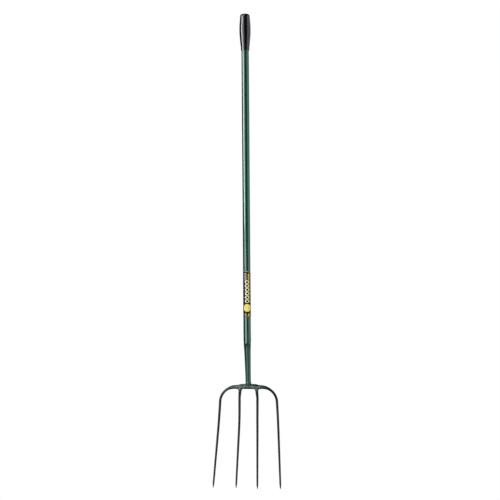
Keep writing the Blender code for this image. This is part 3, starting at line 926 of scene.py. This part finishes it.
def make_groove_weld(side_name, side):
    """Bead round the joint between the crosshead's end and an outer arm."""
    across = [  # (distance over the joint, height above the bar)
        (-0.0031, -0.0004), (-0.0027, 0.00005), (-0.0021, 0.00035), (-0.0013, 0.00058),
        (-0.0004, 0.00070), (0.0004, 0.00070), (0.0013, 0.00058), (0.0021, 0.00035),
        (0.0027, 0.00005), (0.0031, -0.0004), (0.0012, -0.0022), (-0.0012, -0.0022),
    ]
    sides = 160
    rings = []
    for x, lift in across:
        bead = 1.0 if lift > 0.0 else 0.0
        ring = []
        for i, (u, v) in enumerate(squircle(1.0, 1.0, sides, BAR_SQUARENESS)):
            angle = 2.0 * math.pi * i / sides
            extra = 0.00010 * ripple(angle, 24, abs(x) * 150.0, 9.0 + side) * bead
            high = ARM_HALF_HEIGHT + lift + extra
            deep = END_HALF_DEPTH + lift + extra
            ring.append(Vector((side * JOINT_X + x, v * deep, ARM_Z + u * high)))
        rings.append(ring)
    return skin(f"weld_outer_{side_name}_bead", rings, FORGED, closed=True, sharp_angle=WELD_SHARP_ANGLE)


def make_collar():
    """Weld round the tube's foot, running down over the front and back of the crosshead."""
    face = [  # (radius, height above the tube's foot)
        (0.00895, 0.0074), (0.00945, 0.0066), (0.00985, 0.0056), (0.01005, 0.0044), (0.00998, 0.0032),
        (0.00990, 0.0020), (0.00992, 0.0008), (0.00990, -0.0004), (0.00980, -0.0014), (0.00960, -0.0024),
        (0.00925, -0.0033), (0.00880, -0.0041), (0.00820, -0.0046),
    ]
    hidden = [(0.0068, -0.0046), (0.0068, 0.0074)]
    sides = 192
    foot = on_lower_leg(FOOT_Z)
    across = LEG_UP.cross(Vector((1, 0, 0))).normalized()
    rings = []
    for k, (radius, height) in enumerate(face + hidden):
        seen = k < len(face)
        bead = (ease((height + 0.0052) / 0.002) * ease((0.0078 - height) / 0.002)) if seen else 0.0
        ring = []
        for i in range(sides):
            angle = 2.0 * math.pi * i / sides
            lump = noise.noise(Vector((math.cos(angle) * 2, math.sin(angle) * 2, height * 300)))
            lift = 0.00013 * ripple(angle, 30, height * 110.0, 5.0) * bead
            lift += 0.00022 * lump * bead
            r = radius + lift
            if height < 0.0 and seen:
                r -= 0.0009 * ease(abs(math.cos(angle)) * 2.0 - 1.0) * ease(-height / 0.004)
            out = Vector((1, 0, 0)) * (math.cos(angle) * r) + across * (math.sin(angle) * r)
            ring.append(foot + LEG_UP * height + out)
        rings.append(ring)
    return skin("weld_foot_bead", rings, FORGED, closed=True, sharp_angle=WELD_SHARP_ANGLE)


# --- the object ----------------------------------------------------------------------------------------

piece(make_grip(), "grip_plastic", "grip")
piece(make_tube(), "shaft_paint", "shaft_tube")
piece(make_film(), "label_print", "shaft_label")
for printed in make_prints():
    piece(printed, "label_print")
piece(make_crosshead(), "head_paint", "crosshead")
piece(make_collar(), "head_paint", "weld_foot")
for side_word, direction in (("left", -1.0), ("right", 1.0)):
    piece(make_outer_tine(side_word, direction), "head_paint", f"tine_outer_{side_word}")
    piece(make_inner_tine(side_word, direction), "head_paint", f"tine_inner_{side_word}")
    piece(make_groove_weld(side_word, direction), "head_paint", f"weld_outer_{side_word}")
    piece(make_root_weld(side_word, direction), "head_paint", f"weld_inner_{side_word}")


# --- camera, studio and light --------------------------------------------------------------------------

VIEW_AZIMUTH = 7.0  # degrees to the right of straight in front
VIEW_HEIGHT = 0.475
VIEW_RANGE = 4.108
VIEW_ASIDE = 0.01155  # the shaft stands this far left of the picture's middle
VIEW_ROLL = math.radians(-0.415)
LENS, SENSOR = 87.0, 36.0  # millimetres


def heading(degrees):
    """Level direction from the fork towards something at that angle right of straight in front."""
    a = math.radians(degrees)
    return Vector((math.sin(a), -math.cos(a), 0.0))


FLOOR_Z = CAD_BOX[0].z - 0.0005
FLOOR_REACH = 2.4


def make_camera():
    data = bpy.data.cameras.new("camera")
    data.lens, data.sensor_width = LENS, SENSOR
    camera = bpy.data.objects.new("camera", data)
    bpy.context.scene.collection.objects.link(camera)
    back = heading(VIEW_AZIMUTH)
    right = heading(VIEW_AZIMUTH + 90.0)
    camera.location = Vector((0.0, SHAFT_Y, VIEW_HEIGHT)) + right * VIEW_ASIDE + back * VIEW_RANGE
    camera.rotation_mode = "QUATERNION"
    roll = Matrix.Rotation(VIEW_ROLL, 3, "Z").to_quaternion()
    camera.rotation_quaternion = (-back).to_track_quat("-Z", "Y") @ roll
    bpy.context.scene.camera = camera


def glow(name, strength, colour=(1.0, 1.0, 1.0)):
    material = bpy.data.materials.new(name)
    material.use_nodes = True
    tree = material.node_tree
    tree.nodes.clear()
    emission = tree.nodes.new("ShaderNodeEmission")
    emission.inputs["Color"].default_value = (*colour, 1.0)
    emission.inputs["Strength"].default_value = strength
    output = tree.nodes.new("ShaderNodeOutputMaterial")
    tree.links.new(emission.outputs[0], output.inputs["Surface"])
    return material


def flat_sheet(name, corners, material):
    mesh = bpy.data.meshes.new(name)
    mesh.from_pydata([tuple(c) for c in corners], [], [(0, 1, 2, 3)])
    mesh.materials.append(material)
    obj = bpy.data.objects.new(name, mesh)
    bpy.context.scene.collection.objects.link(obj)
    return obj


def light(name, corners, strength):
    """A glowing sheet, hidden from the camera."""
    sheet = flat_sheet(name, corners, glow(name, strength))
    sheet.visible_camera = False
    return sheet


def leaning(name, low_span, high_span, foot, head, strength):
    """A sheet between two edges: each has its (start, end) angles from the camera's own and its
    (distance, height)."""
    corners = [heading(VIEW_AZIMUTH + a) * foot[0] + Vector((0, 0, foot[1])) for a in low_span]
    corners += [heading(VIEW_AZIMUTH + a) * head[0] + Vector((0, 0, head[1])) for a in reversed(high_span)]
    return light(name, corners, strength)


def slanted(name, low_span, high_span, distance, low, high, strength):
    """An upright strip whose (start, end) angles differ between its foot and its head."""
    return leaning(name, low_span, high_span, (distance, low), (distance, high), strength)


def panel(name, start, end, distance, low, high, strength):
    """An upright sheet between two angles."""
    return slanted(name, (start, end), (start, end), distance, low, high, strength)


def overhead(name, start, end, foot, head, strength):
    """A sheet leaning in over the fork."""
    return leaning(name, (start, end), (start, end), foot, head, strength)


def floor_sector(name, start, end, near, far, strength):
    """A slice of the floor's glow between two angles and two distances, hidden from the camera."""
    z = Vector((0, 0, FLOOR_Z - 0.002))
    a, b = heading(VIEW_AZIMUTH + start), heading(VIEW_AZIMUTH + end)
    return light(name, [a * near + z, a * far + z, b * far + z, b * near + z], strength)


def make_studio():
    signs = ((-1, -1), (1, -1), (1, 1), (-1, 1))
    corners = [Vector((x * FLOOR_REACH, y * FLOOR_REACH, FLOOR_Z)) for x, y in signs]
    floor = flat_sheet("floor", corners, glow("floor_white", 1.0))
    floor.visible_glossy = floor.visible_diffuse = False
    floor_sector("floor_glow_left", -90.0, -34.0, 0.5, 1.4, 1.0)
    floor_sector("floor_glow_front", -34.0, -7.0, 0.5, 1.5, 3.2)
    floor_sector("floor_glow_middle", -7.0, 36.0, 0.5, 1.5, 0.4)
    floor_sector("floor_glow_right", 40.0, 110.0, 0.5, 2.1, 1.5)
    slanted("softbox_low", (-67.0, -8.0), (-67.0, -16.0), 2.4, -0.32, 0.50, 5.8)
    slanted("softbox_high", (-65.0, -19.0), (-65.0, -25.0), 2.4, 0.50, 2.20, 3.7)
    slanted("softbox_top", (-65.0, -25.0), (-60.0, -10.0), 2.4, 2.20, 3.40, 3.7)
    slanted("softbox_core_low", (-62.0, -52.0), (-61.0, -51.0), 2.2, 0.40, 0.60, 12.0)
    core = slanted("softbox_core", (-71.0, -46.0), (-86.0, -61.0), 2.2, 0.60, 1.76, 17.5)
    core_high = slanted("softbox_core_high", (-86.0, -61.0), (-74.0, -49.0), 2.2, 1.76, 2.40, 17.5)
    over = overhead("softbox_over", -50.0, -14.0, (0.50, 1.85), (0.22, 2.15), 13.0)
    core.visible_diffuse = core_high.visible_diffuse = over.visible_diffuse = False
    slanted("wall_right", (40.0, 62.0), (49.0, 62.0), 2.4, -0.32, 2.60, 2.3)
    panel("wall_right_side", 62.0, 96.0, 2.4, -0.32, 2.60, 2.0)
    panel("wall_right_back", 96.0, 150.0, 2.4, 0.0, 2.60, 0.9)
    panel("wall_back", 150.0, 178.0, 3.0, 0.0, 2.60, 0.7)
    fill = panel("fill_front", -25.0, 60.0, 3.2, -0.30, 2.60, 1.4)
    fill.visible_glossy = False
    world = bpy.data.worlds.new("white")
    world.use_nodes = True
    background = world.node_tree.nodes["Background"]
    background.inputs["Color"].default_value = (1.0, 1.0, 1.0, 1.0)
    background.inputs["Strength"].default_value = 1.0
    for kind in ("diffuse", "glossy", "transmission", "scatter"):
        setattr(world.cycles_visibility, kind, False)
    bpy.context.scene.world = world
    bpy.context.scene.view_settings.view_transform = "Standard"


make_camera()
make_studio()
